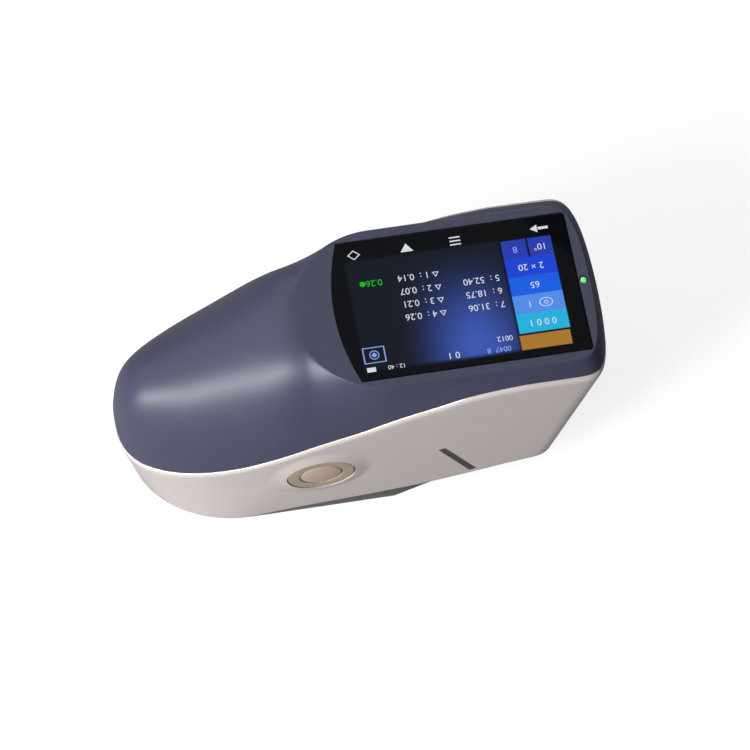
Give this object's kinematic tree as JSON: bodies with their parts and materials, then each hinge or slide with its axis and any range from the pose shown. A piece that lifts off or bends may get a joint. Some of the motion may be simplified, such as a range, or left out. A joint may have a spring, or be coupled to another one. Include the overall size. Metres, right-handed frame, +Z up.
{
  "type": "portable spectrophotometer",
  "caption": "Handheld sphere spectrophotometer with a dark gloss cover, white side walls, touch screen, side measure button and a measuring port underneath",
  "frame": {"origin": "On the table plane, under the middle of the body's length and width", "axes": "+X from the handle to the nose above the measuring port, +Y away from the wall with the measure button, +Z up, at right angles to the screen and the measuring plane"},
  "size_m": [0.187, 0.0782, 0.105],
  "materials": {
    "cover": "dark blue-grey gloss moulding",
    "shell": "warm white gloss moulding",
    "base": "dark grey gloss moulding",
    "screen": "black-printed cover glass",
    "black": "black matt",
    "light": "green light pipe",
    "beige": "beige satin plastic",
    "board": "green circuit board",
    "steel": "bare steel",
    "battery": "blue shrink sleeve",
    "sphere": "white matt coating",
    "alu": "turned aluminium",
    "mirror": "polished reflector",
    "rubber": "black rubber"
  },
  "bodies": {
    "body": {"top_cover": "cover", "body_shell": "shell", "base_cover": "base", "screen_glass": "screen", "display_module": "black", "led_lens": "light", "button_bezel": "beige", "button_switch": "black", "button_board": "board", "port_mark": "black", "data_socket": "steel", "power_switch_body": "black", "io_board": "board", "battery_cover": "base", "battery_pack": "battery", "port_ring": "black", "sphere_lower": "sphere", "sphere_upper": "sphere", "lens_tube": "alu", "lamp": "mirror", "chassis": "alu", "spectrometer_box": "black", "spectrometer_lid": "black", "slit_plate": "steel", "grating": "mirror", "sensor_board": "board", "main_board": "board", "door_screw": "steel", "sphere_screw_1": "steel", "stack_screw_1": "steel", "sphere_screw_2": "steel", "stack_screw_2": "steel", "sphere_screw_3": "steel", "stack_screw_3": "steel", "sphere_screw_4": "steel", "stack_screw_4": "steel", "rubber_foot_near": "rubber", "base_screw_near": "steel", "rubber_foot_far": "rubber", "base_screw_far": "steel"},
    "button": {"measure_button": "beige"},
    "switch_knob": {"power_switch_knob": "black"},
    "insert": {"aperture_insert": "black"}
  },
  "joints": [
    {"name": "measure_button_press", "type": "slide", "parent": "body", "child": "button", "axis": [0, 0.9991, 0.0428], "range_m": [0, 0.0012], "stiffness_N_per_m": 400},
    {"name": "power_switch_slide", "type": "slide", "parent": "body", "child": "switch_knob", "axis": [1, 0, 0], "range_m": [0, 0.003]},
    {"name": "aperture_insert_turn", "type": "hinge", "parent": "body", "child": "insert", "pos_m": [0.052, 0, 0], "axis": [0, 0, 1], "range_deg": [0, 40]}
  ]
}
